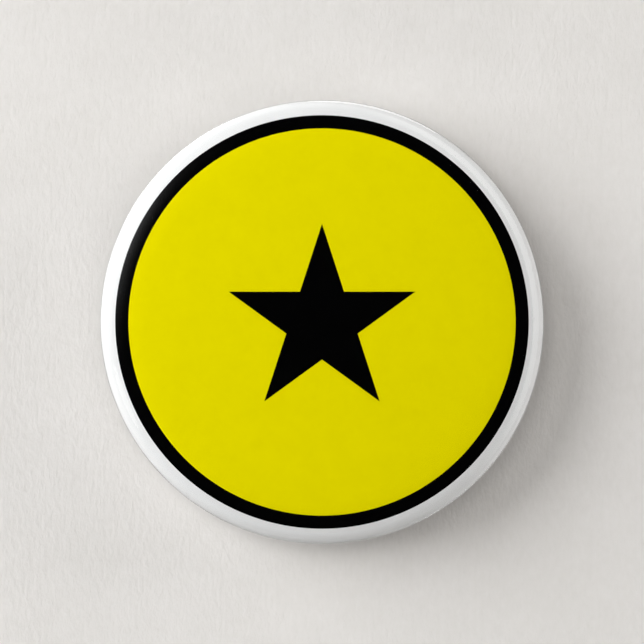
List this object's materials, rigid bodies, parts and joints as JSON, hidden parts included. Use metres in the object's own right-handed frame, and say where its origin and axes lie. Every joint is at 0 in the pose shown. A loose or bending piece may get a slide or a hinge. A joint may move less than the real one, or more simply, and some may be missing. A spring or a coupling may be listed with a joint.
{
  "type": "button badge",
  "caption": "Round domed pin-back button badge: film-covered printed face rolled over a tinplate shell, with a pressed back and a bar pin with a turning catch.",
  "frame": {"origin": "on the badge's axis, in the plane of the back plate's flat land, where the badge lies against the garment", "axes": "+Z is the top of the artwork as worn, +Y points into the garment, so the face looks towards -Y, and +X is the viewer's right"},
  "size_m": [0.0572, 0.0096, 0.0572],
  "materials": {
    "film": "clear gloss polyester film",
    "printed_paper": "coated paper printed yellow, black and white",
    "tinplate": "bright rolled tinplate",
    "back_tinplate": "bright pressed tinplate",
    "nickel": "nickel plate",
    "needle_steel": "polished steel",
    "rivet_steel": "plated steel"
  },
  "bodies": {
    "badge": {"clear_film": "film", "artwork_paper": "printed_paper", "front_shell": "tinplate", "back_plate": "back_tinplate", "pin_bar": "nickel", "hinge_rivet": "rivet_steel", "bar_rivet_left": "rivet_steel", "bar_rivet_right": "rivet_steel"},
    "needle": {"pin_needle": "needle_steel"},
    "catch": {"catch_roller": "nickel"}
  },
  "joints": [
    {"name": "needle_swing", "type": "hinge", "parent": "badge", "child": "needle", "pos_m": [-0.0145, 0.0022, 0.007], "axis": [0, 0, 1], "range_deg": [0, 105]},
    {"name": "catch_turn", "type": "hinge", "parent": "badge", "child": "catch", "pos_m": [0.0145, 0.0022, 0.007], "axis": [-1, 0, 0], "range_deg": [0, 100]}
  ]
}
